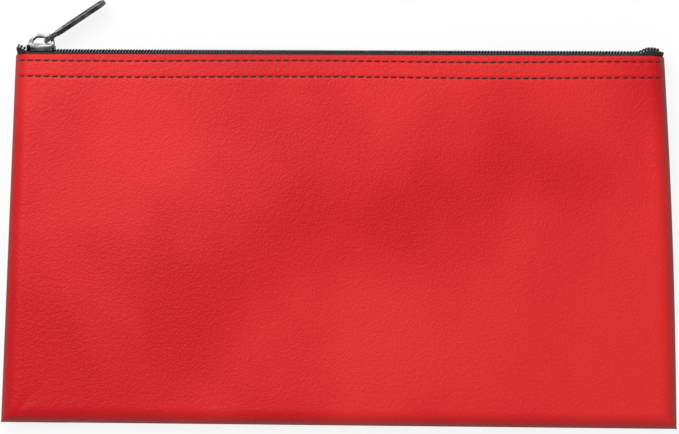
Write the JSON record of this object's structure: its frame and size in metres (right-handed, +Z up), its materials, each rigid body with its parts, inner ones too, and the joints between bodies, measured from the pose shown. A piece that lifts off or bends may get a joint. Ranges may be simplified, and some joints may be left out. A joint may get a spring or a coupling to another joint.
{
  "type": "zippered bank pouch",
  "caption": "Flat rectangular vinyl pouch, closed along its long edge by a coil zipper with a metal slider and pull.",
  "frame": {"origin": "centre of the flat back face that the pouch rests on", "axes": "+X along the zipper to the right, +Y from the bottom seam to the mouth, +Z up out of the front panel"},
  "size_m": [0.2794, 0.1759, 0.014],
  "materials": {
    "vinyl": "semi-gloss grained vinyl leatherette",
    "tape": "woven",
    "coil": "semi-gloss nylon",
    "thread": "twisted thread",
    "slider": "polished dark nickel",
    "pull": "polished dark nickel"
  },
  "bodies": {
    "pouch": {"front_panel": "vinyl", "back_panel": "vinyl", "front_tape": "tape", "back_tape": "tape", "front_coil": "coil", "back_coil": "coil", "front_upper_stitches": "thread", "front_lower_stitches": "thread", "back_upper_stitches": "thread", "back_lower_stitches": "thread", "left_seam_thread": "thread", "right_seam_thread": "thread", "bottom_seam_thread": "thread"},
    "slider": {"slider_body": "slider"},
    "pull": {"pull_tab": "pull"}
  },
  "joints": [
    {"name": "slider_travel", "type": "slide", "parent": "pouch", "child": "slider", "axis": [1, 0, 0], "range_m": [0, 0.24], "deforming": ["front_coil", "back_coil"]},
    {"name": "pull_swing", "type": "hinge", "parent": "slider", "child": "pull", "pos_m": [-0.1218, 0.0821, 0.007], "axis": [0.1447, -0.2146, 0.9659], "range_deg": [-30, 75]}
  ]
}
